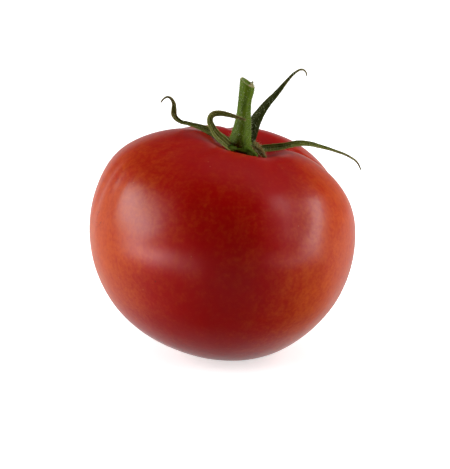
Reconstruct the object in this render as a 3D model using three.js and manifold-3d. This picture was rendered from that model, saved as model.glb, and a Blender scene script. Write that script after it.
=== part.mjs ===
// A ripe round tomato with its green calyx and the stub of stem that it was picked by.
//
// The frame: +Z is up, the surface that the tomato stands on is Z = 0, and the origin is the
// middle of the small flat spot that it stands on. +X is to the right of its best side, which
// faces -Y. Lengths are millimetres and angles are degrees.
//
// The fruit is one solid. Its skin is smooth over a net of rings and meridians, with a shallow
// cavity round the stem and soft furrows that run out of the cavity between the lobes. On the
// floor of the cavity sits the calyx: a small disc, the stem that grows from it, and five
// sepals, each a narrow blade bent along a route of its own. The calyx's own frame has its
// origin on the cavity floor and its Z along the fruit's axis.
import * as THREE from "three";
import { mergeVertices } from "three/addons/utils/BufferGeometryUtils.js";
import Module from "manifold-3d";

// ---- Driving dimensions ----

// How the fruit stands: its lean, and where the middle of its flat spot lies from the blossom
// end once it has leant. The flat spot takes the lowest millimetre away.
const LEAN_RIGHT = 11;
const LEAN_FORWARD = 4;
const FLAT_SPOT = new THREE.Vector3(8.6, -3.6, 0.9);

// The net's rings, from the blossom end up over the shoulder and down into the cavity: their
// radius and height, and how much of the furrows and of the body's uneven outline each takes.
const RINGS = [
  { radius: 8, height: 1.4, furrow: 0, uneven: 0 },
  { radius: 17.8, height: 3.2, furrow: 0, uneven: 0.5 },
  { radius: 26.8, height: 9.2, furrow: 0.05, uneven: 1 },
  { radius: 35, height: 20.2, furrow: 0.12, uneven: 1 },
  { radius: 38.6, height: 32.2, furrow: 0.3, uneven: 1 },
  { radius: 38, height: 44, furrow: 0.55, uneven: 1 },
  { radius: 34.4, height: 53.7, furrow: 0.85, uneven: 1 },
  { radius: 27.2, height: 59.5, furrow: 1, uneven: 1 },
  { radius: 19.2, height: 62.8, furrow: 1, uneven: 0.7 },
  { radius: 12.5, height: 63.8, furrow: 0.9, uneven: 0.3 },
  { radius: 8, height: 61.2, furrow: 0.4, uneven: 0 },
  { radius: 4.2, height: 60.2, furrow: 0, uneven: 0 },
];
const BLOSSOM_END = 0.8;
const CAVITY_FLOOR = 60;
const MERIDIANS = 24;
const CALYX_LEFT = 1; // how far the calyx sits to the left of the fruit's axis

// The furrows between the lobes: direction round the axis, depth as a share of the radius, and
// half their width.
const FURROWS = [
  { angle: 16, depth: 0.09, width: 13 },
  { angle: 105, depth: 0.075, width: 15 },
  { angle: 145, depth: 0.08, width: 15 },
  { angle: 222, depth: 0.05, width: 13 },
  { angle: 300, depth: 0.07, width: 13 },
];
const FURROW_DROP = 12; // how far a furrow as deep as the radius would lower the skin

// The body's uneven outline: how far it is fuller to the left, and its soft corners.
const FULLER_LEFT = 1.2;
const CORNERS = { count: 3, size: 0.025, angle: 190 };

const FRUIT_SIDES = 60;
const STEPS_PER_RING = 2;

// The disc, as radius and height from the middle of its underside out and back over its top.
const DISC_PROFILE = [
  [0, 0.6],
  [3, 0.7],
  [4.2, 1.1],
  [4.8, 1.7],
  [4.4, 2.1],
  [3.7, 2.3],
  [0, 2.3],
];
const DISC_SIDES = 28;

// The stem: the route of its middle, and its radius at even steps along it. Its top is cut
// aslant, and the near side of the cut is this much lower than the far side.
const STEM = {
  route: [
    [-1, 0, 2.9],
    [-1.1, 0.3, 6],
    [-1.4, 0.7, 10],
    [-1.9, 1, 14.5],
    [-2.3, 1.4, 20.3],
  ],
  radii: [2.6, 2.5, 2.3, 2.05, 1.9, 1.9, 2],
  turn: () => 30,
  slant: 1.4,
  sides: 14,
  steps: 14,
};

// The sepals: the route of each one's middle line from its root to its tip, its greatest width
// and thickness, and how far its blade is turned out of the level at the root and by the tip.
const SEPALS = {
  sepal_right: {
    route: [
      [5.1, -0.8, 2.3],
      [10.5, -1.2, 4.1],
      [14.5, -1.1, 5.8],
      [17.6, -0.6, 6.3],
      [21, 0.4, 5.9],
      [25.6, 1.4, 5.2],
      [30.3, 2.3, 4],
      [32.8, 2.7, 2.6],
      [34.2, 2.6, 0.8],
    ],
    width: 2.8,
    thickness: 0.8,
    turn: [0, 30],
  },
  sepal_back_right: {
    route: [
      [1.9, 4.9, 2.6],
      [2, 5.4, 4.6],
      [2.6, 6.6, 7.2],
      [4.7, 9.8, 11.3],
      [7.8, 13.1, 15.3],
      [9.9, 15.4, 19.3],
      [11.4, 16.6, 21.5],
      [13.1, 17.6, 22.4],
      [14.4, 18, 21.7],
      [14.8, 18, 20.6],
    ],
    width: 3,
    thickness: 1,
    turn: [0, 0],
  },
  sepal_left: {
    route: [
      [-4.9, 1.5, 2.3],
      [-8.8, 3.2, 3.2],
      [-11.5, 4.2, 3.8],
      [-16.2, 5.3, 4],
      [-18.4, 5.3, 4.2],
      [-20.2, 5.4, 5.6],
      [-20.5, 5.5, 7.5],
      [-21, 5.6, 9.1],
      [-22.8, 5.3, 10.4],
      [-23.9, 4.7, 9.8],
      [-24.5, 4.4, 8.6],
    ],
    width: 2.6,
    thickness: 0.7,
    turn: [0, 60],
  },
  sepal_front_left: {
    route: [
      [-4.2, -3, 2.5],
      [-5.5, -3.8, 3.4],
      [-7.7, -4.5, 4.9],
      [-9.4, -4.7, 6.9],
      [-10.4, -4.6, 9],
      [-10, -4.3, 10.4],
      [-8.6, -4, 11.2],
      [-6.1, -3.8, 11.2],
      [-3.7, -3.6, 10.9],
      [-0.6, -3.3, 10.5],
    ],
    width: 2.6,
    thickness: 0.7,
    turn: [30, 30],
  },
  sepal_front_right: {
    route: [
      [2.6, -4.4, 2.9],
      [3.5, -5, 3.1],
      [4.9, -5.9, 3.1],
      [6.6, -7.3, 2.8],
    ],
    width: 2.6,
    thickness: 0.9,
    turn: [30, 0],
  },
};
const SEPAL_SIDES = 8;
const SEPAL_STEP = 1.2; // the length of a step along a sepal
const SEPAL_WIDEST = 0.25; // the share of the way at which a sepal is widest
const SEPAL_ROOT = 0.7; // the root's share of the greatest width
const SEPAL_TIP = 0.18; // the tip's share of it

const FRUIT = new THREE.MeshStandardMaterial({ color: 0xa81c10, roughness: 0.35 });
const DISC = new THREE.MeshStandardMaterial({ color: 0x5c7433, roughness: 0.75 });
const STALK = new THREE.MeshStandardMaterial({ color: 0x4f7a1c, roughness: 0.7 });
const SEPAL = new THREE.MeshStandardMaterial({ color: 0x3f4a20, roughness: 0.8 });

// ---- The fruit ----

const radians = THREE.MathUtils.degToRad;

// How deep the furrows are in a direction round the axis, as a share of the radius.
function furrowDepth(angle) {
  return FURROWS.reduce((depth, furrow) => {
    const apart = THREE.MathUtils.euclideanModulo(angle - furrow.angle + 180, 360) - 180;
    return depth + furrow.depth * Math.exp(-((apart / furrow.width) ** 2));
  }, 0);
}

function netPoint(ring, angle) {
  const furrow = furrowDepth(angle) * ring.furrow;
  const corner = CORNERS.size * Math.cos(radians(CORNERS.count * (angle - CORNERS.angle)));
  const reach = ring.radius * (1 + corner * ring.uneven) * (1 - furrow);
  return new THREE.Vector3(
    reach * Math.cos(radians(angle)) - FULLER_LEFT * ring.uneven,
    reach * Math.sin(radians(angle)),
    ring.height - furrow * FURROW_DROP,
  );
}

function netRow(ring, turn = 0) {
  return Array.from({ length: MERIDIANS }, (_, i) => netPoint(ring, (i * 360) / MERIDIANS + turn));
}

// The net from pole to pole. Past each pole comes the nearest ring again from the far side, so
// that the skin runs smoothly over the pole.
function fruitNet() {
  const first = RINGS[0];
  const last = RINGS.at(-1);
  return [
    netRow(first, 180),
    netRow({ ...first, radius: 0, height: BLOSSOM_END }),
    ...RINGS.map((ring) => netRow(ring)),
    netRow({ ...last, radius: 0, height: CAVITY_FLOOR }),
    netRow(last, 180),
  ];
}

// The weights of a uniform cubic B-spline's four nearest points.
function splineWeights(t) {
  return [
    (1 - t) ** 3 / 6,
    (3 * t ** 3 - 6 * t ** 2 + 4) / 6,
    (-3 * t ** 3 + 3 * t ** 2 + 3 * t + 1) / 6,
    t ** 3 / 6,
  ];
}

// The skin over the net, at a share of the way round it and of the way from pole to pole.
function skinPoint(net, round, along) {
  const spans = net.length - 3;
  const row = Math.min(Math.floor(along * spans), spans - 1);
  const column = Math.floor(round * MERIDIANS);
  const rowWeights = splineWeights(along * spans - row);
  const columnWeights = splineWeights(round * MERIDIANS - column);
  const point = new THREE.Vector3();
  rowWeights.forEach((rowWeight, i) => {
    columnWeights.forEach((columnWeight, j) => {
      const corner = net[row + i][(column + j - 1 + MERIDIANS) % MERIDIANS];
      point.addScaledVector(corner, rowWeight * columnWeight);
    });
  });
  return point;
}

// A sphere's vertices moved to the skin, each by its share of the way round and up.
function fruitSkin() {
  const net = fruitNet();
  const steps = (net.length - 3) * STEPS_PER_RING;
  const geometry = new THREE.SphereGeometry(1, FRUIT_SIDES, steps);
  const { position, uv } = geometry.attributes;
  for (let i = 0; i < position.count; i++) {
    const round = THREE.MathUtils.clamp(uv.getX(i), 0, 1) % 1;
    position.setXYZ(i, ...skinPoint(net, round, uv.getY(i)));
  }
  return geometry;
}

// The fruit leans as it stands, and everything on it leans with it.
function standing() {
  const group = new THREE.Group();
  group.rotation.set(radians(LEAN_FORWARD), radians(LEAN_RIGHT), 0, "YXZ");
  group.position.copy(FLAT_SPOT).negate();
  group.updateMatrix();
  return group;
}

// ---- Solids ----

const wasm = await Module();
wasm.setup();

function toSolid(geometry) {
  const bare = geometry.clone().deleteAttribute("normal").deleteAttribute("uv");
  const merged = mergeVertices(bare);
  return new wasm.Manifold(
    new wasm.Mesh({
      numProp: 3,
      vertProperties: new Float32Array(merged.attributes.position.array),
      triVerts: new Uint32Array(merged.index.array),
    }),
  );
}

function toGeometry(solid) {
  const mesh = solid.getMesh();
  const geometry = new THREE.BufferGeometry();
  geometry.setAttribute("position", new THREE.BufferAttribute(mesh.vertProperties, 3));
  geometry.setIndex(new THREE.BufferAttribute(mesh.triVerts, 1));
  geometry.computeVertexNormals();
  return geometry;
}

// The solid with all that lies below Z = 0 cut away.
function cutFlat(geometry) {
  geometry.computeBoundingBox();
  const size = geometry.boundingBox.getSize(new THREE.Vector3());
  const below = new THREE.BoxGeometry(size.x * 3, size.y * 3, size.z);
  below.translate(0, 0, -size.z / 2);
  return toGeometry(toSolid(geometry).subtract(toSolid(below)));
}

// ---- The calyx ----

function curveThrough(route) {
  return new THREE.CatmullRomCurve3(route.map((point) => new THREE.Vector3(...point)));
}

// A closed cylinder bent along a route, with its width level at the root. At each share of the
// way, section gives half its width and half its thickness, and turn says how far it is turned.
function bentAlong(route, { sides, steps, section, turn, slant = 0 }) {
  const curve = curveThrough(route);
  const frames = curve.computeFrenetFrames(steps);
  const level = new THREE.Vector3(0, 0, 1).cross(frames.tangents[0]);
  const toLevel = Math.atan2(level.dot(frames.binormals[0]), level.dot(frames.normals[0]));
  const geometry = new THREE.CylinderGeometry(1, 1, 1, sides, steps);
  const { position } = geometry.attributes;
  for (let i = 0; i < position.count; i++) {
    const share = position.getY(i) + 0.5;
    const step = Math.round(share * steps);
    const along = frames.tangents[step];
    const angle = toLevel + radians(turn(share));
    const across = frames.normals[step].clone().applyAxisAngle(along, angle);
    const through = across.clone().cross(along);
    const [halfWidth, halfThickness] = section(share);
    const point = curve.getPointAt(share);
    point.addScaledVector(across, position.getX(i) * halfWidth);
    point.addScaledVector(through, position.getZ(i) * halfThickness);
    point.addScaledVector(along, (slant / 2) * position.getX(i) * share ** steps);
    position.setXYZ(i, ...point);
  }
  return geometry;
}

// The value at a share of the way along a list of values that stand at even steps.
function between(values, share) {
  const place = share * (values.length - 1);
  const step = Math.min(Math.floor(place), values.length - 2);
  return THREE.MathUtils.lerp(values[step], values[step + 1], place - step);
}

function stemGeometry() {
  const section = (share) => {
    const radius = between(STEM.radii, share);
    return [radius, radius];
  };
  return bentAlong(STEM.route, { ...STEM, section });
}

// A sepal's width swells from its root to its widest place and then tapers to its tip.
function sepalWidth(share) {
  if (share < SEPAL_WIDEST) {
    return THREE.MathUtils.lerp(SEPAL_ROOT, 1, share / SEPAL_WIDEST);
  }
  const toTip = (share - SEPAL_WIDEST) / (1 - SEPAL_WIDEST);
  return THREE.MathUtils.lerp(1, SEPAL_TIP, toTip);
}

function sepalGeometry({ route, width, thickness, turn }) {
  return bentAlong(route, {
    sides: SEPAL_SIDES,
    steps: Math.round(curveThrough(route).getLength() / SEPAL_STEP),
    section: (share) => [(width / 2) * sepalWidth(share), (thickness / 2) * sepalWidth(share)],
    turn: (share) => turn[0] + turn[1] * share,
  });
}

function discGeometry() {
  const profile = DISC_PROFILE.map(([radius, height]) => new THREE.Vector2(radius, height));
  return new THREE.LatheGeometry(profile, DISC_SIDES).rotateX(Math.PI / 2);
}

// ---- The whole tomato ----

function named(name, geometry, material) {
  const mesh = new THREE.Mesh(geometry, material);
  mesh.name = name;
  return mesh;
}

function calyx() {
  const group = new THREE.Group();
  group.position.set(-CALYX_LEFT, 0, CAVITY_FLOOR);
  group.add(named("calyx_disc", discGeometry(), DISC));
  group.add(named("stem", stemGeometry(), STALK));
  for (const [name, sepal] of Object.entries(SEPALS)) {
    group.add(named(name, sepalGeometry(sepal), SEPAL));
  }
  return group;
}

const leaning = standing();
leaning.add(calyx());

const tomato = new THREE.Group();
tomato.add(named("fruit", cutFlat(fruitSkin().applyMatrix4(leaning.matrix)), FRUIT));
tomato.add(leaning);

export default tomato;
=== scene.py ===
"""A ripe tomato with its green calyx and the cut stub of its stem, on a pale studio floor."""
import math
import random

import bmesh
import bpy
from mathutils import Matrix, Vector


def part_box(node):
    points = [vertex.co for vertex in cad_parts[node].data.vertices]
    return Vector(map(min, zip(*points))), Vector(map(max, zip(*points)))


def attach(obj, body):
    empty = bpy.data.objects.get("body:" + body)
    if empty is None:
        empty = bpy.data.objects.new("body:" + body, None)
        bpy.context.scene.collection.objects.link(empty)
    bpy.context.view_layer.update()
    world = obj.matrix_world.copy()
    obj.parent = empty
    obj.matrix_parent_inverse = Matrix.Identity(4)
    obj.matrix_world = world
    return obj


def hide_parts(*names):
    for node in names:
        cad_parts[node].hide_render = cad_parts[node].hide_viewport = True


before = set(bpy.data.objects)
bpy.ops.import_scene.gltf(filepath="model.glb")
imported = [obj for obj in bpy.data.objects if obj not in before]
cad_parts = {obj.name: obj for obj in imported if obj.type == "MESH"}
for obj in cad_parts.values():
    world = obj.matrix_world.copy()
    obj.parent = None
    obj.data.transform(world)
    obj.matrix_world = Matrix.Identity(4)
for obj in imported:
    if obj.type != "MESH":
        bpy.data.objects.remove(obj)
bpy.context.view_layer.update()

MM = 0.001

# ---- How the fruit stands, in the same sizes as the frame ----

LEAN_RIGHT = math.radians(11)
LEAN_FORWARD = math.radians(4)
FLAT_SPOT = Vector((8.6, -3.6, 0.9)) * MM
CALYX = Vector((-1, 0, 60)) * MM  # the calyx's own frame, on the floor of the cavity

# ---- The fruit's net of rings and meridians ----

# From the blossom end up over the shoulder and down into the cavity: radius and height in
# millimetres, and how much of the furrows and of the body's uneven outline each ring takes.
RINGS = (
    (8, 1.4, 0, 0),
    (17.8, 3.2, 0, 0.5),
    (26.8, 9.2, 0.05, 1),
    (35, 20.2, 0.06, 1),
    (38.6, 32.2, 0.18, 1),
    (38, 44, 0.43, 1),
    (34.4, 53.7, 0.85, 1),
    (27.2, 59.5, 1, 1),
    (19.2, 62.8, 1, 0.7),
    (12.5, 63.8, 0.9, 0.3),
    (8, 61.2, 0.4, 0),
    (4.2, 60.2, 0, 0),
)
BLOSSOM_END = 0.8
CAVITY_FLOOR = 60
MERIDIANS = 24

# The furrows between the lobes: direction in degrees, depth as a share of the radius, and half
# their width in degrees.
FURROWS = ((16, 0.09, 13), (105, 0.075, 15), (145, 0.08, 15), (222, 0.05, 13), (300, 0.07, 13))
FURROW_DROP = 12  # how far a furrow sinks the rim, in millimetres for a depth of 1
FULLER_LEFT = 1.2  # how much fuller the body is towards -X
CORNERS, CORNER_SIZE, CORNER_ANGLE = 3, 0.025, 190  # seen from above, it has faint corners
FIRST_LEVELS, LAST_LEVELS = 2, 2  # of subdivision, before and after the fine shaping
# The narrow creases: direction in degrees, the heights at which each begins and ends, in
# millimetres, and how far it is drawn in, as a share of the radius.
CREASES = (
    (16, 40, 70, 0.022),
    (105, 50, 70, 0.01),
    (145, 50, 70, 0.01),
    (196, 32, 55, 0.01),
    (207, 34, 55, 0.007),
)
CREASE_REACH = 2.4  # degrees to either side
CREASE_STEPS, CREASE_RUN = 4, 12  # each deepens in so many steps, over this height
CREASE_MIDDLE = Vector((0, 0, 30)) * MM  # the place that the creases are drawn in towards
SCAR_RING, SCAR_MIDDLE, SCAR_DENT, SCAR_NUB = 2.6, 0.1, 0.3, 0.5  # the blossom's scar
SCAR_LEVEL = 5.8  # all of the scar's vertices lie below this height
UNEVEN_SCALE = 20 * MM  # the size of the skin's gentle unevenness
UNEVEN_HEIGHT = 0.6 * MM  # and how far it rises and falls
BLEMISH = Vector((-38, -13, 42)) * MM  # where the standing fruit has a few brown marks

# ---- The calyx, in its own frame, in millimetres and degrees ----

DISC_RADIUS, DISC_TOP_RADIUS, DISC_LOW, DISC_TOP = 4.9, 3.6, 0.6, 2.5
DISC_MIDDLE = (0.4, -0.4)
DISC_SIDES = 30
DISC_ARMS = (-9, 69, 163, 216, 301)  # the directions in which the sepals leave it
ARM_HALF_ANGLE = 0.3  # in radians: the faces that an arm grows from
ARM_DRAWS = ((0.7, 0.8), (0.9, 0.8))  # how far out and how much narrower each length of an arm is
ARM_RISE, ARM_FLATTER = 0.12, 0.75
LONG_ARM = 1.6  # how much longer the last arm is, towards the dry sepal
STEM_ROUTE = ((-1, 0, 1.6), (-1.1, 0.3, 6), (-1.4, 0.7, 10), (-1.9, 1, 14.5), (-2.3, 1.4, 20.3))
STEM_RADII = (3.3, 3.0, 2.6, 2.25, 2.0, 1.85, 1.85, 1.9, 2.0, 2.1)
STEM_SIDES, STEM_STEPS = 30, 24
STEM_SPARE = 1.8  # of length above the route, for the cut to take away
RIBS, LESSER_RIBS, RIB_HEIGHT = 5, 7, 0.05
CUT_PLACE = Vector((-2.3, 1.4, 20))  # where the cut crosses the stem's middle
CUT_FACING = Vector((0.42, -0.12, 1)).normalized()
CUT_LEVEL = 0.1  # how near to the cut a face has to lie to be a part of it
RIM_WIDTH = 0.42
PITH_STEPS = ((0.3, 0.35), (0.5, 0.25))  # how far in and how far down each step into the pith is
KNUCKLE = Vector((1, -0.2, 0))  # the side on which the swollen joint has torn
SWELLINGS = ((3.2, 0.9), (1.92, 1.3))  # how far below the cut and how far out each one begins
SWELLING_HEIGHT = 0.15
TORN_OUT = 0.9  # how far out on the cut the torn part of its rim begins
TORN_DRAWS = ((0.45, 0.1), (0.3, -0.25))  # how far up and how far out the torn rim is drawn
TORN_NARROWER = 0.9

# Each sepal: the route of its middle line, its half widths and the tilt of its blade at even
# steps along it, how deeply it is folded, and, from 0 to 1, how dry it is and how much painted
# shade darkens its green, where it lies on its dark side.
SEPALS = {
    "sepal_right": dict(
        route=(
            (3.4, -0.6, 1.7), (5.1, -0.8, 2.3), (10.5, -1.2, 4.1), (14.5, -1.1, 5.8),
            (17.6, -0.6, 6.3), (21, 0.4, 5.9), (25.6, 1.4, 5.2), (30.3, 2.3, 4),
            (32.8, 2.7, 2.6), (34.2, 2.6, 0.8),
        ),
        widths=(1.1, 1.3, 1.2, 1.0, 0.95, 0.8, 0.62, 0.46, 0.38, 0.32, 0.18),
        tilts=(20, 45, 45, 40, 45, 50),
        fold=0.5,
        dry=0.2,
    ),
    "sepal_back_right": dict(
        route=(
            (1.4, 3.4, 1.5), (1.8, 4.9, 2.6), (1.9, 5.4, 4.6), (2.3, 6.6, 7.2), (4.2, 9.8, 11.3),
            (7.3, 13.1, 15.6), (9.7, 15.4, 19.4), (11.4, 16.6, 21.5), (13.1, 17.6, 22.4),
            (14.4, 18, 21.7), (14.8, 18, 20.6),
        ),
        widths=(1.4, 1.8, 1.8, 1.5, 1.2, 0.98, 0.76, 0.56, 0.38, 0.28, 0.18),
        tilts=(0, 10, 10, 5, 0),
        fold=0.4,
        dry=0.2,
        # Painted shade: this sepal lies on its dark side, so its green is darkened.
        deep=0.85,
    ),
    "sepal_left": dict(
        route=(
            (-3.2, 0.9, 1.7), (-4.9, 1.5, 2.3), (-8.8, 3.2, 3.1), (-11.5, 4.2, 3.6),
            (-16.2, 5.3, 3.9), (-18.5, 5.3, 4.1), (-20.4, 5.4, 5.5), (-20.8, 5.5, 7.4),
            (-21.2, 5.6, 9), (-23, 5.3, 10.4), (-24.1, 4.7, 9.8), (-24.8, 4.4, 8.6),
        ),
        widths=(1.0, 1.2, 1.25, 1.15, 0.8, 0.6, 0.62, 0.9, 0.52, 0.28, 0.15),
        tilts=(-20, -40, -45, -45, -45, -50, -70, -90, -90, -70, -60),
        fold=0.45,
        dry=0.3,
    ),
    "sepal_front_left": dict(
        route=(
            (-2.2, -2.2, 1.5), (-3.8, -3.2, 2), (-5.5, -3.9, 3.2), (-7.8, -4.5, 4.8),
            (-9.6, -4.7, 6.9), (-10.7, -4.6, 9), (-10.3, -4.3, 10.4), (-8.8, -4, 11.1),
            (-6.1, -3.8, 11.2), (-3.7, -3.6, 10.9), (-0.6, -3.3, 10.5),
        ),
        widths=(1.2, 1.5, 1.55, 1.4, 1.1, 0.95, 0.92, 0.8, 0.65, 0.45, 0.2),
        tilts=(-30, -55, -60, -70, -80, -85, -90, -100),
        fold=0.5,
        dry=0.2,
    ),
    "sepal_front_right": dict(
        route=((2.1, -3, 3.6), (3, -4.6, 4.2), (4, -5.7, 3.8), (5.3, -6.8, 3), (6.7, -7.8, 1.9)),
        widths=(0.6, 1.0, 1.1, 0.85, 0.2),
        tilts=(30, 60, 65, 60),
        fold=0.9,
        dry=1.0,
    ),
}
SEPAL_THICKNESS = 0.3
BLADE_ROW = 0.9  # the length of a row of the blade's faces
# How high each line of the blade's vertices stands, from edge to edge, as a share of the fold:
# the middle vein and the two side veins stand out below.
BLADE_SECTION = (0.6, 0.28, -0.1, -0.24, -0.62, -0.24, -0.1, 0.28, 0.6)
BLADE_COLUMNS = len(BLADE_SECTION) - 1
EDGE_RISE, EDGE_SWAY = 0.09, 0.036  # how far the edges wander up and sideways, in half widths

# ---- The fine hairs ----

HAIR_WIDTH = 0.035
HAIR_STEPS, HAIR_BEND, HAIR_TAPER = 3, 0.09, 0.72
HAIR_LEAN = 0.45  # how far a hair leans from the way its face looks
HAIR_LENGTHS = (0.35, 0.95)
STEM_HAIRS, SEPAL_HAIRS = 700, 130  # on the stem, and on each sepal

# ---- Modelling ----

CLOSE = 0.01  # the tolerance by which a line of vertices is picked


def deselect_all():
    bpy.ops.object.select_all(action="DESELECT")


def activate(piece):
    deselect_all()
    piece.select_set(True)
    bpy.context.view_layer.objects.active = piece


def start_piece(name):
    """The primitive just added becomes the piece of this name."""
    piece = bpy.context.object
    piece.name = name
    piece.data.name = name
    return piece


def edit(piece):
    activate(piece)
    bpy.ops.object.mode_set(mode="EDIT")
    bpy.ops.mesh.select_mode(type="VERT")


def leave_edit():
    bpy.ops.object.mode_set(mode="OBJECT")


def pick(piece, wanted):
    """In edit mode, selects the vertices that wanted(vertex) is true of, and no others."""
    mesh = bmesh.from_edit_mesh(piece.data)
    for vertex in mesh.verts:
        vertex.select_set(bool(wanted(vertex)))
    mesh.select_flush(True)
    bmesh.update_edit_mesh(piece.data)


def pick_faces(piece, wanted):
    """In edit mode, selects the faces that wanted(face) is true of, and no others."""
    bpy.ops.mesh.select_mode(type="FACE")
    mesh = bmesh.from_edit_mesh(piece.data)
    for face in mesh.faces:
        face.select_set(bool(wanted(face)))
    mesh.select_flush(True)
    bmesh.update_edit_mesh(piece.data)


def face_outwards(piece):
    edit(piece)
    bpy.ops.mesh.select_all(action="SELECT")
    bpy.ops.mesh.normals_make_consistent(inside=False)
    leave_edit()


def apply_modifier(piece, kind, **settings):
    activate(piece)
    modifier = piece.modifiers.new(kind.title(), kind)
    for key, value in settings.items():
        setattr(modifier, key, value)
    bpy.ops.object.modifier_apply(modifier=modifier.name)


def smooth_skin(piece, levels):
    apply_modifier(piece, "SUBSURF", levels=levels, render_levels=levels)
    bpy.ops.object.shade_smooth()


def stand(piece, place=Vector()):
    """Leans a finished piece with the fruit, about the fruit's own frame."""
    activate(piece)
    piece.location = place
    bpy.ops.object.transform_apply(location=True, rotation=True, scale=True)
    piece.rotation_euler = (LEAN_FORWARD, LEAN_RIGHT, 0)
    piece.location = -FLAT_SPOT
    bpy.ops.object.transform_apply(location=True, rotation=True, scale=True)


def between(values, share):
    """The value at a share of the way along a list of values that stand at even steps."""
    place = share * (len(values) - 1)
    step = min(int(place), len(values) - 2)
    return values[step] + (values[step + 1] - values[step]) * (place - step)


# ---- The fruit ----


def apart(angle, direction):
    return (angle - direction + 180) % 360 - 180


def furrow_depth(angle):
    """How deep the furrows are in a direction round the axis, as a share of the radius."""
    depth = 0
    for direction, furrow, width in FURROWS:
        depth += furrow * math.exp(-((apart(angle, direction) / width) ** 2))
    return depth


def net_point(ring, angle):
    radius, height, furrow_share, uneven = ring
    furrow = furrow_depth(angle) * furrow_share
    corner = CORNER_SIZE * math.cos(math.radians(CORNERS * (angle - CORNER_ANGLE)))
    reach = radius * (1 + corner * uneven) * (1 - furrow)
    turn = math.radians(angle)
    place = Vector((reach * math.cos(turn), reach * math.sin(turn), height - furrow * FURROW_DROP))
    place.x -= FULLER_LEFT * uneven
    return place * MM


def draw_to_net(fruit):
    """Moves each corner of the sphere to its place in the net."""
    rings = len(RINGS)
    poles = {-1: BLOSSOM_END, rings: CAVITY_FLOOR}
    goals = {}
    for vertex in fruit.data.vertices:
        ring = round(math.acos(-max(-1, min(1, vertex.co.z))) / math.pi * (rings + 1)) - 1
        angle = math.degrees(math.atan2(vertex.co.y, vertex.co.x))
        if ring in poles:
            goals[vertex.index] = Vector((0, 0, poles[ring])) * MM
        else:
            goals[vertex.index] = net_point(RINGS[ring], angle)
    edit(fruit)
    for index, goal in goals.items():
        pick(fruit, lambda vertex: vertex.index == index)
        here = bmesh.from_edit_mesh(fruit.data).verts
        here.ensure_lookup_table()
        bpy.ops.transform.translate(value=goal - here[index].co)
    leave_edit()


def crease_skin(fruit):
    """Draws the narrow creases in, each deeper step by step towards the shoulder."""

    def in_crease(vertex, direction, lowest, highest):
        angle = math.degrees(math.atan2(vertex.co.y, vertex.co.x + FULLER_LEFT * MM))
        outside = vertex.co.xy.length > RINGS[-3][0] * MM  # not in the cavity
        level = lowest < vertex.co.z < highest
        return outside and level and abs(apart(angle, direction)) < CREASE_REACH

    edit(fruit)
    for direction, begins, ends, depth in CREASES:
        for step in range(CREASE_STEPS):
            lowest = (begins + CREASE_RUN * step / CREASE_STEPS) * MM
            highest = (ends - step) * MM
            pick(fruit, lambda vertex: in_crease(vertex, direction, lowest, highest))
            drawn = 1 - depth / CREASE_STEPS
            bpy.ops.transform.resize(value=(drawn, drawn, drawn), center_override=CREASE_MIDDLE)
    leave_edit()


def press_scar(fruit):
    """Leaves the small nub of the blossom's scar in a shallow dent."""

    def in_scar(vertex, reach):
        return vertex.co.z < SCAR_LEVEL * MM and vertex.co.xy.length < reach * MM

    edit(fruit)
    pick(fruit, lambda vertex: in_scar(vertex, SCAR_RING))
    bpy.ops.transform.translate(value=(0, 0, SCAR_DENT * MM))
    pick(fruit, lambda vertex: in_scar(vertex, SCAR_MIDDLE))
    bpy.ops.transform.translate(value=(0, 0, -SCAR_NUB * MM))
    leave_edit()


def make_uneven(fruit):
    """Gives the skin the gentle rise and fall that keeps its reflections from being perfect."""
    swell = bpy.data.textures.new("unevenness", "CLOUDS")
    swell.noise_scale = UNEVEN_SCALE
    swell.noise_depth = 1
    apply_modifier(fruit, "DISPLACE", texture=swell, strength=UNEVEN_HEIGHT, mid_level=0.5)


def flatten_spot(fruit):
    """Presses what lies below the floor flat, as the fruit's weight does."""
    edit(fruit)
    pick(fruit, lambda vertex: vertex.co.z < 0)
    bpy.ops.transform.resize(value=(1, 1, 0), center_override=(0, 0, 0))
    leave_edit()


def make_fruit():
    """A sphere drawn to the net of rings and furrows, smoothed, creased and smoothed again."""
    deselect_all()
    bpy.ops.mesh.primitive_uv_sphere_add(segments=MERIDIANS, ring_count=len(RINGS) + 1, radius=1)
    fruit = start_piece("tomato_fruit")
    draw_to_net(fruit)
    smooth_skin(fruit, FIRST_LEVELS)
    crease_skin(fruit)
    press_scar(fruit)
    smooth_skin(fruit, LAST_LEVELS)
    make_uneven(fruit)
    stand(fruit)
    flatten_spot(fruit)
    return fruit


# ---- The calyx ----


def make_disc():
    """A squat cone with an arm drawn out of its side towards each sepal."""
    deselect_all()
    bpy.ops.mesh.primitive_cone_add(
        vertices=DISC_SIDES,
        radius1=DISC_RADIUS * MM,
        radius2=DISC_TOP_RADIUS * MM,
        depth=(DISC_TOP - DISC_LOW) * MM,
        location=(DISC_MIDDLE[0] * MM, DISC_MIDDLE[1] * MM, (DISC_TOP + DISC_LOW) / 2 * MM),
    )
    bpy.ops.object.transform_apply(location=True)
    disc = start_piece("tomato_disc")
    middle = Vector((*DISC_MIDDLE, 0)) * MM

    def faces_way(face, way):
        out = face.calc_center_median() - middle
        out.z = 0
        return out.length > MM and out.angle(way) < ARM_HALF_ANGLE

    for arm in DISC_ARMS:
        way = Vector((math.cos(math.radians(arm)), math.sin(math.radians(arm)), 0))
        edit(disc)
        pick_faces(disc, lambda face: faces_way(face, way))
        longer = LONG_ARM if arm == DISC_ARMS[-1] else 1
        for out, narrower in ARM_DRAWS:
            drawn = (way * out * longer + Vector((0, 0, ARM_RISE))) * MM
            bpy.ops.mesh.extrude_region_move(TRANSFORM_OT_translate={"value": drawn})
            bpy.ops.transform.resize(value=(narrower, narrower, ARM_FLATTER))
        leave_edit()
    smooth_skin(disc, 2)
    stand(disc, CALYX)
    return disc


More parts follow.
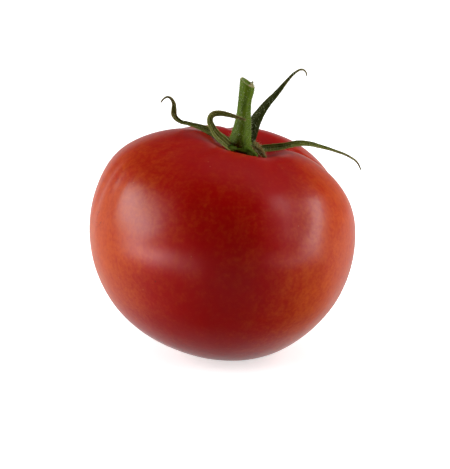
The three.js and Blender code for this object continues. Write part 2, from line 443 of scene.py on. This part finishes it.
def route_curve(route, tilts):
    """A smooth curve through a route's points, for a Curve modifier to bend a piece along."""
    curve = bpy.data.curves.new("route", "CURVE")
    curve.dimensions = "3D"
    curve.resolution_u = 24
    curve.twist_mode = "MINIMUM"
    spline = curve.splines.new("BEZIER")
    spline.bezier_points.add(len(route) - 1)
    for i, (point, place) in enumerate(zip(spline.bezier_points, route)):
        point.co = Vector(place) * MM
        point.handle_left_type = point.handle_right_type = "AUTO"
        point.tilt = math.radians(between(tilts, i / (len(route) - 1)))
    path = bpy.data.objects.new("route", curve)
    bpy.context.collection.objects.link(path)
    bpy.context.view_layer.update()
    return path


def bend(piece, path):
    apply_modifier(piece, "CURVE", object=path, deform_axis="POS_X")
    curve = path.data
    bpy.data.objects.remove(path)
    bpy.data.curves.remove(curve)


def make_sepal(name, route, widths, tilts, fold, wander):
    """A flat blade, veined and folded, drawn in to its outline and bent along its route."""
    path = route_curve(route, tilts)
    length = path.data.splines[0].calc_length()
    rows = round(length / (BLADE_ROW * MM))
    deselect_all()
    bpy.ops.mesh.primitive_grid_add(x_subdivisions=rows, y_subdivisions=BLADE_COLUMNS, size=2)
    blade = start_piece(name)

    def in_row(vertex, along):
        return abs(vertex.co.x - along) < 0.5 / rows

    def in_line(vertex, across):
        return abs(vertex.co.y - across) < CLOSE

    edit(blade)
    for line, height in enumerate(BLADE_SECTION):
        side = 2 * line / BLADE_COLUMNS - 1
        pick(blade, lambda vertex: in_line(vertex, side))
        bpy.ops.transform.translate(value=(0, 0, height * fold))
    for row in range(rows + 1):
        share = row / rows
        here = 2 * share - 1
        for side in (-1, 1):
            pick(blade, lambda vertex: in_row(vertex, here) and in_line(vertex, side))
            stray = wander.uniform(-1, 1)
            bpy.ops.transform.translate(value=(0, EDGE_SWAY * stray, EDGE_RISE * stray))
        pick(blade, lambda vertex: in_row(vertex, here))
        width = between(widths, share)
        bpy.ops.transform.resize(value=(1, width, width), center_override=(here, 0, 0))
    bpy.ops.mesh.select_all(action="SELECT")
    bpy.ops.transform.translate(value=(1, 0, 0))
    bpy.ops.transform.resize(value=(length / 2, MM, MM), center_override=(0, 0, 0))
    leave_edit()
    apply_modifier(blade, "SOLIDIFY", thickness=SEPAL_THICKNESS * MM, offset=0)
    smooth_skin(blade, 2)
    bend(blade, path)
    face_outwards(blade)
    stand(blade, CALYX)
    return blade


def draw_tube(stem, length):
    """Draws the tube out of its first ring, flares its foot and raises its ribs."""

    def on_side(vertex, turn):
        off = math.remainder(math.atan2(vertex.co.z, vertex.co.y) - turn, math.tau)
        return abs(off) < CLOSE

    edit(stem)
    bpy.ops.mesh.select_all(action="SELECT")
    for step in range(STEM_STEPS):
        bpy.ops.mesh.extrude_region_move(
            TRANSFORM_OT_translate={"value": (length / STEM_STEPS, 0, 0)}
        )
    for step in range(STEM_STEPS + 1):
        here = step * length / STEM_STEPS
        pick(stem, lambda vertex: abs(vertex.co.x - here) < CLOSE * MM)
        radius = between(STEM_RADII, step / STEM_STEPS) * MM
        bpy.ops.transform.resize(value=(1, radius, radius), center_override=(here, 0, 0))
    for side in range(STEM_SIDES):
        turn = math.tau * side / STEM_SIDES
        pick(stem, lambda vertex: on_side(vertex, turn))
        ribs = math.cos(RIBS * turn) + 0.4 * math.cos(LESSER_RIBS * turn + 1)
        raised = 1 + RIB_HEIGHT * ribs
        bpy.ops.transform.resize(value=(1, raised, raised), center_override=(0, 0, 0))
    leave_edit()


def cut_aslant(stem):
    """Cuts the top off aslant, hollows the pith and tears up the rim of the swollen joint."""

    def above(point):
        return (point - CUT_PLACE * MM).dot(CUT_FACING)

    def out_to_knuckle(point):
        return (point - CUT_PLACE * MM).dot(KNUCKLE)

    def on_cut(face, likeness):
        level = abs(above(face.calc_center_median())) < CUT_LEVEL * MM
        return level and face.normal.dot(CUT_FACING) > likeness

    def in_swelling(vertex, below, out):
        return above(vertex.co) > -below * MM and out_to_knuckle(vertex.co) > out * MM

    def to_be_torn(face):
        return on_cut(face, 0.7) and out_to_knuckle(face.calc_center_median()) > TORN_OUT * MM

    edit(stem)
    bpy.ops.mesh.select_all(action="SELECT")
    bpy.ops.mesh.bisect(
        plane_co=CUT_PLACE * MM, plane_no=CUT_FACING, clear_outer=True, use_fill=True
    )
    leave_edit()
    edit(stem)
    pick_faces(stem, lambda face: on_cut(face, 0.9))
    bpy.ops.mesh.inset(thickness=RIM_WIDTH * MM, depth=0)
    for inwards, down in PITH_STEPS:
        bpy.ops.mesh.inset(thickness=inwards * MM, depth=-down * MM)
    for below, out in SWELLINGS:
        pick(stem, lambda vertex: in_swelling(vertex, below, out))
        bpy.ops.transform.translate(value=KNUCKLE * SWELLING_HEIGHT * MM)
    pick_faces(stem, to_be_torn)
    for lift, out in TORN_DRAWS:
        drawn = (CUT_FACING * lift + KNUCKLE * out) * MM
        bpy.ops.mesh.extrude_region_move(TRANSFORM_OT_translate={"value": drawn})
        bpy.ops.transform.resize(value=(TORN_NARROWER, TORN_NARROWER, TORN_NARROWER))
    leave_edit()


def make_stem():
    """A ribbed tube along the stem's route, closed at its foot and cut aslant at the top."""
    deselect_all()
    bpy.ops.mesh.primitive_circle_add(vertices=STEM_SIDES, radius=1, rotation=(0, math.pi / 2, 0))
    bpy.ops.object.transform_apply(rotation=True)
    stem = start_piece("tomato_stem")
    path = route_curve(STEM_ROUTE, (0, 0))
    length = path.data.splines[0].calc_length() + STEM_SPARE * MM
    draw_tube(stem, length)
    edit(stem)
    pick(stem, lambda vertex: vertex.co.x < CLOSE * MM)
    bpy.ops.mesh.edge_face_add()
    leave_edit()
    bend(stem, path)
    face_outwards(stem)
    cut_aslant(stem)
    smooth_skin(stem, 2)
    face_outwards(stem)
    stand(stem, CALYX)
    return stem


# ---- Hairs ----


def make_hair():
    """One bent three-sided spike, a millimetre long, drawn out of a triangle."""
    deselect_all()
    bpy.ops.mesh.primitive_circle_add(vertices=3, radius=HAIR_WIDTH * MM, fill_type="NGON")
    hair = start_piece("hair")
    edit(hair)
    bpy.ops.mesh.select_all(action="SELECT")
    for step in range(HAIR_STEPS):
        drawn = (HAIR_BEND * step * MM, 0, MM / HAIR_STEPS)
        bpy.ops.mesh.extrude_region_move(TRANSFORM_OT_translate={"value": drawn})
        bpy.ops.transform.resize(value=(HAIR_TAPER, HAIR_TAPER, 1))
    leave_edit()
    face_outwards(hair)
    return hair


def make_hairs(name, hosts, count, wander):
    """So many hairs standing out all over each of some pieces, all copies of the same one."""
    hair = make_hair()
    copies = []
    for host in hosts:
        faces = host.data.polygons
        areas = [face.area for face in faces]  # a larger face bears more hairs
        for face in wander.choices(faces, areas, k=count):
            copy = bpy.data.objects.new(name, hair.data.copy())
            bpy.context.collection.objects.link(copy)
            lean = Vector((wander.uniform(-1, 1), wander.uniform(-1, 1), wander.uniform(-1, 1)))
            way = face.normal + HAIR_LEAN * lean
            copy.rotation_euler = way.to_track_quat("Z", "X").to_euler()
            copy.scale = (1, 1, wander.uniform(*HAIR_LENGTHS))
            copy.location = face.center
            copies.append(copy)
    deselect_all()
    for copy in copies:
        copy.select_set(True)
    bpy.context.view_layer.objects.active = copies[0]
    bpy.ops.object.join()
    bpy.ops.object.transform_apply(location=True, rotation=True, scale=True)
    mesh = hair.data
    bpy.data.objects.remove(hair)
    bpy.data.meshes.remove(mesh)
    copies[0].name = name
    copies[0].data.name = name
    return copies[0]


# ---- Materials ----


class Value:
    """A shader's number, colour or vector, with Python's operators adding Math nodes."""

    def __init__(self, graph, socket):
        self.graph = graph
        self.socket = socket

    def math(self, operation, *values):
        return self.graph.math(operation, *values)

    def __add__(self, other):
        return self.math("ADD", self, other)

    def __radd__(self, other):
        return self.math("ADD", other, self)

    def __sub__(self, other):
        return self.math("SUBTRACT", self, other)

    def __rsub__(self, other):
        return self.math("SUBTRACT", other, self)

    def __mul__(self, other):
        return self.math("MULTIPLY", self, other)

    def __rmul__(self, other):
        return self.math("MULTIPLY", other, self)

    def __truediv__(self, other):
        return self.math("DIVIDE", self, other)

    def __abs__(self):
        return self.math("ABSOLUTE", self)


class Graph:
    """The nodes of a material or of the world, around the shader that it begins with."""

    def __init__(self, owner, shader="Principled BSDF"):
        owner.use_nodes = True
        self.owner = owner
        self.tree = owner.node_tree
        self.shader = self.tree.nodes[shader]

    def node(self, kind, settings=None, inputs=None, output=0):
        """Adds a node, sets it up, and then feeds its sockets with values or other outputs."""
        node = self.tree.nodes.new(kind)
        for key, value in (settings or {}).items():
            setattr(node, key, value)
        for key, value in (inputs or {}).items():
            self.feed(node.inputs[key], value)
        return Value(self, node.outputs[output])

    def feed(self, socket, value):
        if isinstance(value, Value):
            self.tree.links.new(value.socket, socket)
        elif socket.type == "RGBA" and len(value) == 3:
            socket.default_value = (*value, 1)
        else:
            socket.default_value = value

    def math(self, operation, *values):
        return self.node("ShaderNodeMath", {"operation": operation}, dict(enumerate(values)))

    def vector_math(self, operation, *values, output=0):
        return self.node(
            "ShaderNodeVectorMath", {"operation": operation}, dict(enumerate(values)), output=output
        )

    def set(self, **inputs):
        """Sets the shader's own sockets, each named with _ for the spaces in its label."""
        for key, value in inputs.items():
            self.feed(self.shader.inputs[key.replace("_", " ")], value)

    def place(self):
        return self.node("ShaderNodeTexCoord", output="Object")

    def parts(self, vector):
        """The three numbers of a vector."""
        return [self.node("ShaderNodeSeparateXYZ", inputs={0: vector}, output=axis) for axis in "XYZ"]

    def join(self, x, y, z):
        return self.node("ShaderNodeCombineXYZ", inputs={"X": x, "Y": y, "Z": z})

    def upright(self, place):
        """A place in the fruit's own frame, as it was before it leant."""
        return self.node(
            "ShaderNodeMapping",
            {"vector_type": "TEXTURE"},
            {"Vector": place, "Location": -FLAT_SPOT, "Rotation": (LEAN_FORWARD, LEAN_RIGHT, 0)},
        )

    def noise(self, place, size, detail=2, roughness=0.5):
        """Noise from 0 to 1 whose blotches are about this large, in metres."""
        return self.node(
            "ShaderNodeTexNoise",
            inputs={"Vector": place, "Scale": 1 / size, "Detail": detail, "Roughness": roughness},
        )

    def spots(self, place, spacing, radius, share):
        """1 inside small round spots that stand in some of the cells of this spacing."""
        inputs = {"Vector": place, "Scale": 1 / spacing}
        far = self.node("ShaderNodeTexVoronoi", inputs=inputs)
        cell = self.parts(self.node("ShaderNodeTexVoronoi", inputs=inputs, output="Color"))[0]
        spot = 1 - self.step(far, 0.4 * radius / spacing, radius / spacing)
        return spot * self.math("LESS_THAN", cell, share)

    def step(self, value, low, high):
        """0 below low, 1 above high and smooth between them."""
        return self.node(
            "ShaderNodeMapRange",
            {"interpolation_type": "SMOOTHSTEP"},
            {"Value": value, "From Min": low, "From Max": high},
        )

    def mix(self, share, first, second):
        return self.node(
            "ShaderNodeMix",
            {"data_type": "RGBA"},
            {"Factor": share, 6: first, 7: second},
            output=2,
        )

    def glow(self, x, y, inner, outer):
        """1 within a long round patch that stretches along X, fading to 0 at its edge."""
        reach = self.math("SQRT", x * x * 0.2 + y * y)
        return 1 - self.step(reach, inner, outer)

    def bump(self, height, strength, distance):
        return self.node(
            "ShaderNodeBump",
            inputs={"Strength": strength, "Distance": distance, "Height": height},
        )


def material_graph(name):
    return Graph(bpy.data.materials.new(name))


def give(piece, graph):
    piece.data.materials.clear()
    piece.data.materials.append(graph.owner)


CRIMSON = (0.37, 0.001, 0.001)
DEEP_RED = (0.31, 0.001, 0.001)
ORANGE_RED = (0.56, 0.082, 0.006)
PALE_SPECK = (0.5, 0.16, 0.07)
BROWN_SPECK = (0.07, 0.02, 0.01)
CORK = (0.16, 0.08, 0.035)


def skin_material():
    """Ripe red, mottled, faintly streaked and specked, with orange painted light at the two flanks
    where the side lamps fall, a few brown marks on one flank and a corky scar at the blossom's end."""
    skin = material_graph("tomato skin")
    place = skin.place()
    x, y, z = skin.parts(skin.upright(place))
    far = skin.math("SQRT", x * x + y * y)
    streaks = skin.noise(skin.join(x / far * 0.03, y / far * 0.03, z * 0.12), 0.0016, 3, 0.6)
    patches = skin.step(skin.noise(place, 0.026, 2, 0.5), 0.38, 0.66)
    mottle = skin.step(skin.noise(place, 0.0042, 4, 0.62), 0.35, 0.7)
    grain = skin.step(skin.noise(place, 0.0011, 3, 0.6), 0.3, 0.7)
    shoulder = skin.step(z, 0.03, 0.066)
    # Painted light: the two flanks, where the side lamps fall, turn orange, the left one less so
    # towards its top.
    right = skin.step(x, 0.008, 0.03)
    left = skin.step(-1 * x, 0.012, 0.035)
    # How warm the red is: blotches of several sizes, and painted light at the two flanks.
    warm = patches * 0.08 + mottle * 0.12 + streaks * 0.18 + grain * 0.2
    warm = warm + 0.07 + right * 0.46 + left * (0.52 - shoulder * 0.26)
    colour = skin.mix(skin.step(warm, 0.26, 1.1), CRIMSON, ORANGE_RED)
    deeper = skin.step(skin.noise(place, 0.002, 3, 0.6), 0.55, 0.8)
    colour = skin.mix(deeper * 0.2, colour, DEEP_RED)
    pale = skin.spots(place, 0.0042, 0.00026, 0.45)
    colour = skin.mix(pale * 0.55, colour, PALE_SPECK)
    brown = skin.spots(place, 0.011, 0.00035, 0.3)
    colour = skin.mix(brown * 0.6, colour, BROWN_SPECK)
    near = 1 - skin.step(skin.vector_math("DISTANCE", place, BLEMISH, output=1), 0.001, 0.004)
    marks = skin.spots(place, 0.0008, 0.0003, 0.8) * near
    colour = skin.mix(marks * 0.7, colour, BROWN_SPECK)
    ragged = far + skin.noise(place, 0.0012, 3) * 0.0012
    scar = (1 - skin.step(ragged, 0.0014, 0.0024)) * (1 - skin.step(z, 0.01, 0.02))
    colour = skin.mix(scar, colour, CORK)
    dimples = skin.noise(place, 0.0007, 2, 0.5)
    height = dimples * 0.6 + skin.noise(place, 0.005, 2) * 3.0 + pale * 0.4 + scar * 2.0
    skin.set(
        Base_Color=colour,
        Roughness=0.3 + mottle * 0.04 + scar * 0.4,
        IOR=1.42,
        Specular_IOR_Level=0.28,
        Subsurface_Weight=0.15,
        Subsurface_Radius=(1.0, 0.2, 0.08),
        Subsurface_Scale=0.003,
        Coat_Weight=0.05,
        Coat_Roughness=0.22,
        Normal=skin.bump(height, 0.5, 0.00005),
    )
    return skin


DEEP_GREEN = (0.045, 0.085, 0.001)
FRESH_GREEN = (0.13, 0.215, 0.004)
GREY_GREEN = (0.24, 0.3, 0.08)
STRAW = (0.75, 0.7, 0.4)
TORN_BROWN = (0.3, 0.24, 0.1)


def stem_material(name, cut=False):
    """Fresh green, streaked and greyed along its length, and straw-coloured where it is cut."""
    green = material_graph(name)
    place = green.place()
    x, y, z = green.parts(green.upright(place))
    along = green.join(x, y, z * 0.12)
    streaks = green.step(green.noise(along, 0.0007, 4, 0.6), 0.3, 0.7)
    patches = green.noise(place, 0.003, 3, 0.6)
    colour = green.mix(streaks * 0.6 + patches * 0.4, DEEP_GREEN, FRESH_GREEN)
    greyed = green.step(green.noise(along, 0.0004, 3, 0.7), 0.55, 0.8)
    colour = green.mix(greyed * 0.4, colour, GREY_GREEN)
    height = streaks + green.noise(place, 0.0003, 2) * 0.5
    if cut:
        height_of_cut = (CUT_PLACE * MM + CALYX).dot(CUT_FACING)
        above = x * CUT_FACING.x + y * CUT_FACING.y + z * CUT_FACING.z - height_of_cut
        ragged = above + (green.noise(place, 0.0006, 3) - 0.5) * 0.0006
        torn = green.step(ragged, -0.0002, 0.0001)
        fibres = green.step(green.noise(place, 0.0004, 3, 0.7), 0.4, 0.7)
        colour = green.mix(torn, colour, green.mix(fibres, TORN_BROWN, STRAW))
    green.set(
        Base_Color=colour,
        Roughness=0.6,
        Specular_IOR_Level=0.15,
        Sheen_Weight=0.05,
        Sheen_Roughness=0.4,
        Sheen_Tint=(0.8, 0.9, 0.6),
        Normal=green.bump(height, 0.6, 0.00006),
    )
    return green


LEAF_DARK = (0.036, 0.046, 0.004)
LEAF_GREEN = (0.14, 0.16, 0.016)
LEAF_PALE = (0.42, 0.43, 0.14)
# The green that painted shade darkens a sepal towards.
LEAF_PAINTED_SHADE = (0.022, 0.03, 0.002)
DRY_BROWN = (0.17, 0.13, 0.035)
DRY_PALE = (0.46, 0.43, 0.16)


def sepal_material(name, dry, deep):
    """Dull olive with paler veins and edges, darkened by painted shade on a sepal on its dark side,
    drying to brown and straw towards its tip.
    """
    leaf = material_graph(name)
    place = leaf.place()
    along, across = leaf.parts(leaf.node("ShaderNodeTexCoord", output="UV"))[:2]
    side = abs(across - 0.5) * 2
    patches = leaf.noise(place, 0.0022, 4, 0.62)
    # The blade's own UV is stretched, so that the blotches become fibres along it.
    fibres = leaf.noise(leaf.join(along * 6, across * 26, 0.0), 1.0, 3, 0.6)
    vein = 1 - leaf.step(side, 0.03, 0.14)
    side_veins = 1 - leaf.step(abs(side - 0.5), 0.02, 0.1)
    colour = leaf.mix(leaf.step(fibres * 0.6 + patches * 0.4, 0.35, 0.65), LEAF_DARK, LEAF_GREEN)
    colour = leaf.mix(vein * 0.6 + side_veins * 0.35, colour, LEAF_PALE)
    colour = leaf.mix(leaf.step(side, 0.8, 1.0) * 0.6, colour, LEAF_PALE)
    # Painted shade: a sepal that lies on its dark side is darkened.
    colour = leaf.mix(deep, colour, LEAF_PAINTED_SHADE)
    worn = along * 1.1 + leaf.step(side, 0.3, 1.1) * 0.35 + (patches - 0.5) * 1.1 + dry * 0.9
    withered = leaf.step(worn, 0.95, 1.5)
    straw = leaf.step(leaf.noise(place, 0.0007, 3, 0.6), 0.45, 0.75)
    colour = leaf.mix(withered, colour, leaf.mix(straw, DRY_BROWN, DRY_PALE))
    height = fibres * 0.8 + vein * 1.5 + side_veins + leaf.noise(place, 0.0004, 2) * 0.6
    leaf.set(
        Base_Color=colour,
        Roughness=0.6,
        Specular_IOR_Level=0.12,
        Normal=leaf.bump(height, 0.6, 0.00008),
    )
    return leaf


HAIR_GREEN = (0.3, 0.36, 0.16)
HAIR_PALE = (0.55, 0.6, 0.36)


def hair_material():
    hairs = material_graph("pale hairs")
    pale = hairs.noise(hairs.place(), 0.002, 2)
    hairs.set(Base_Color=hairs.mix(pale, HAIR_GREEN, HAIR_PALE), Roughness=0.5)
    return hairs


# ---- The studio ----

CAMERA_RISE = math.radians(15)
CAMERA_FAR = 0.6
CAMERA_LENS = 162.6
AIM = Vector((0.9, -1.4, 2.1)) * MM  # from the middle of the fruit's box
FLOOR_SIZE, FLOOR_LEVEL = 12, -0.02 * MM  # so little below the flat spot that no gap is seen
FLOOR_GLOW = 15.0  # the brightest that the floor's painted glow is in the fruit's gloss
BLACK, GREY_WHITE, WHITE = (0, 0, 0), (0.8, 0.8, 0.8), (1, 1, 1)
# The soft boxes: where each stands, what it faces, its width and height, its power, and its turn
# in degrees about the line of its aim. The overhead one is left out of the gloss.
LAMPS = {
    "left": dict(
        place=(-0.505, -0.073, 0.19),
        aim=(-0.025, -0.026, 0.045),
        size=(0.2, 0.38),
        power=2.6,
        turn=42,
    ),
    "right": dict(
        place=(0.486, -0.062, 0.225),
        aim=(0.02, -0.026, 0.045),
        size=(0.16, 0.54),
        power=2.6,
        turn=-37,
    ),
    "overhead": dict(
        place=(0.08, 0.16, 0.42),
        aim=(0, 0, 0.05),
        size=(0.3, 0.3),
        power=0.7,
        turn=0,
        mirrored=False,
    ),
}


def make_camera():
    low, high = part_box("fruit")
    aim = (low + high) / 2 + AIM
    camera = bpy.data.cameras.new("camera")
    camera.sensor_fit = "VERTICAL"
    camera.sensor_height = 36
    camera.lens = CAMERA_LENS
    camera.clip_start = 0.01
    holder = bpy.data.objects.new("camera", camera)
    bpy.context.collection.objects.link(holder)
    holder.location = aim + CAMERA_FAR * Vector((0, -math.cos(CAMERA_RISE), math.sin(CAMERA_RISE)))
    holder.rotation_euler = (math.pi / 2 - CAMERA_RISE, 0, 0)
    bpy.context.scene.camera = holder


def soft_light(name, place, aim, size, power, turn, mirrored=True):
    light = bpy.data.lights.new(name, "AREA")
    light.shape = "RECTANGLE"
    light.size, light.size_y = size
    light.energy = power
    holder = bpy.data.objects.new(name, light)
    bpy.context.collection.objects.link(holder)
    holder.location = place
    holder.visible_glossy = mirrored
    look = (Vector(aim) - Vector(place)).to_track_quat("-Z", "Y").to_matrix()
    holder.rotation_euler = (look @ Matrix.Rotation(math.radians(turn), 3, "Z")).to_euler()


def make_floor():
    """White paper, kept white where it is seen directly by a glow of its own, which is dimmed round
    the fruit as a painted shadow. In the fruit's gloss the paper itself is black and only its glow
    shows, as a painted reflection: light at the sides and below the fruit, dark in front, and light
    at the foot of each lamp."""
    deselect_all()
    bpy.ops.mesh.primitive_plane_add(size=FLOOR_SIZE, location=(0, 0, FLOOR_LEVEL))
    floor = start_piece("floor")
    paper = material_graph("white paper")
    x, y = paper.parts(paper.place())[:2]
    seen = paper.node("ShaderNodeLightPath", output="Is Camera Ray")
    mirrored = paper.node("ShaderNodeLightPath", output="Is Glossy Ray")
    away = paper.math("SQRT", x * x + y * y)
    # Painted reflection: in the fruit's gloss the paper glows at the sides, below the fruit and at
    # the foot of each lamp.
    painted_glow_sides = paper.step(y + abs(x) * 0.575 - x * 0.225, -0.03, 0.04)
    painted_glow_below = 1 - paper.step(away, 0.015, 0.04)
    painted_glow_left = paper.glow(x + 0.28, y + 0.12, 0.04, 0.11)
    painted_glow_right = paper.glow(x - 0.42, y + 0.18, 0.06, 0.16)
    painted_lamp_glows = painted_glow_left + painted_glow_right * 0.5
    # Painted shadow: where the paper is seen directly, its own glow is dimmed round the fruit's flat
    # spot. This lies over the real shadow that the lamps cast.
    white = 0.62 + paper.step(away, 0.012, 0.05) * 0.5
    shown = seen * white + mirrored * (painted_glow_sides * 0.88 + painted_glow_below * 0.6 + painted_lamp_glows * 13.0)
    paper.set(
        Base_Color=paper.mix(mirrored, GREY_WHITE, BLACK),
        Roughness=0.9,
        Specular_IOR_Level=0.0,
        Emission_Color=paper.mix(shown / FLOOR_GLOW, BLACK, WHITE),
        Emission_Strength=FLOOR_GLOW,
    )
    give(floor, paper)


def make_world():
    """A room that is light low behind the fruit, dim above it and dark in front. It is white
    where the camera sees it, and it lights the fruit less than it shows in the gloss."""
    world = bpy.data.worlds.new("studio")
    bpy.context.scene.world = world
    room = Graph(world, "Background")
    x, y, z = room.parts(room.node("ShaderNodeTexCoord", output="Generated"))
    behind = room.step(y, -0.2, 0.25)
    low = 1 - room.step(z, 0.1, 0.45) * 0.88
    sides = 0.7 - room.step(x, -0.6, 0.6) * 0.32
    seen = room.node("ShaderNodeLightPath", output="Is Camera Ray")
    scattered = room.node("ShaderNodeLightPath", output="Is Diffuse Ray")
    light = behind * low * sides * (1 - scattered * 0.8)
    room.set(Color=WHITE, Strength=room.math("MAXIMUM", light, seen))


def place_piece(piece, graph, node):
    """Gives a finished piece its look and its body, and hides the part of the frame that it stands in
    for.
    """
    give(piece, graph)
    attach(piece, "root")
    if node:
        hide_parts(node)


# ---- The whole tomato ----

make_camera()
make_world()
make_floor()
for name, lamp in LAMPS.items():
    soft_light(name, **lamp)
bpy.context.scene.view_settings.view_transform = "Standard"

place_piece(make_fruit(), skin_material(), "fruit")
place_piece(make_disc(), stem_material("disc green"), "calyx_disc")
stem = make_stem()
place_piece(stem, stem_material("stem green", cut=True), "stem")
wander = random.Random(7)
blades = []
for name, sepal in SEPALS.items():
    dry, deep = sepal.pop("dry"), sepal.pop("deep", 0.0)
    blades.append(make_sepal("tomato_" + name, wander=wander, **sepal))
    place_piece(blades[-1], sepal_material(name + " green", dry, deep), name)
hair_look = hair_material()
place_piece(make_hairs("tomato_stem_hairs", [stem], STEM_HAIRS, wander), hair_look, None)
place_piece(make_hairs("tomato_sepal_hairs", blades, SEPAL_HAIRS, wander), hair_look, None)
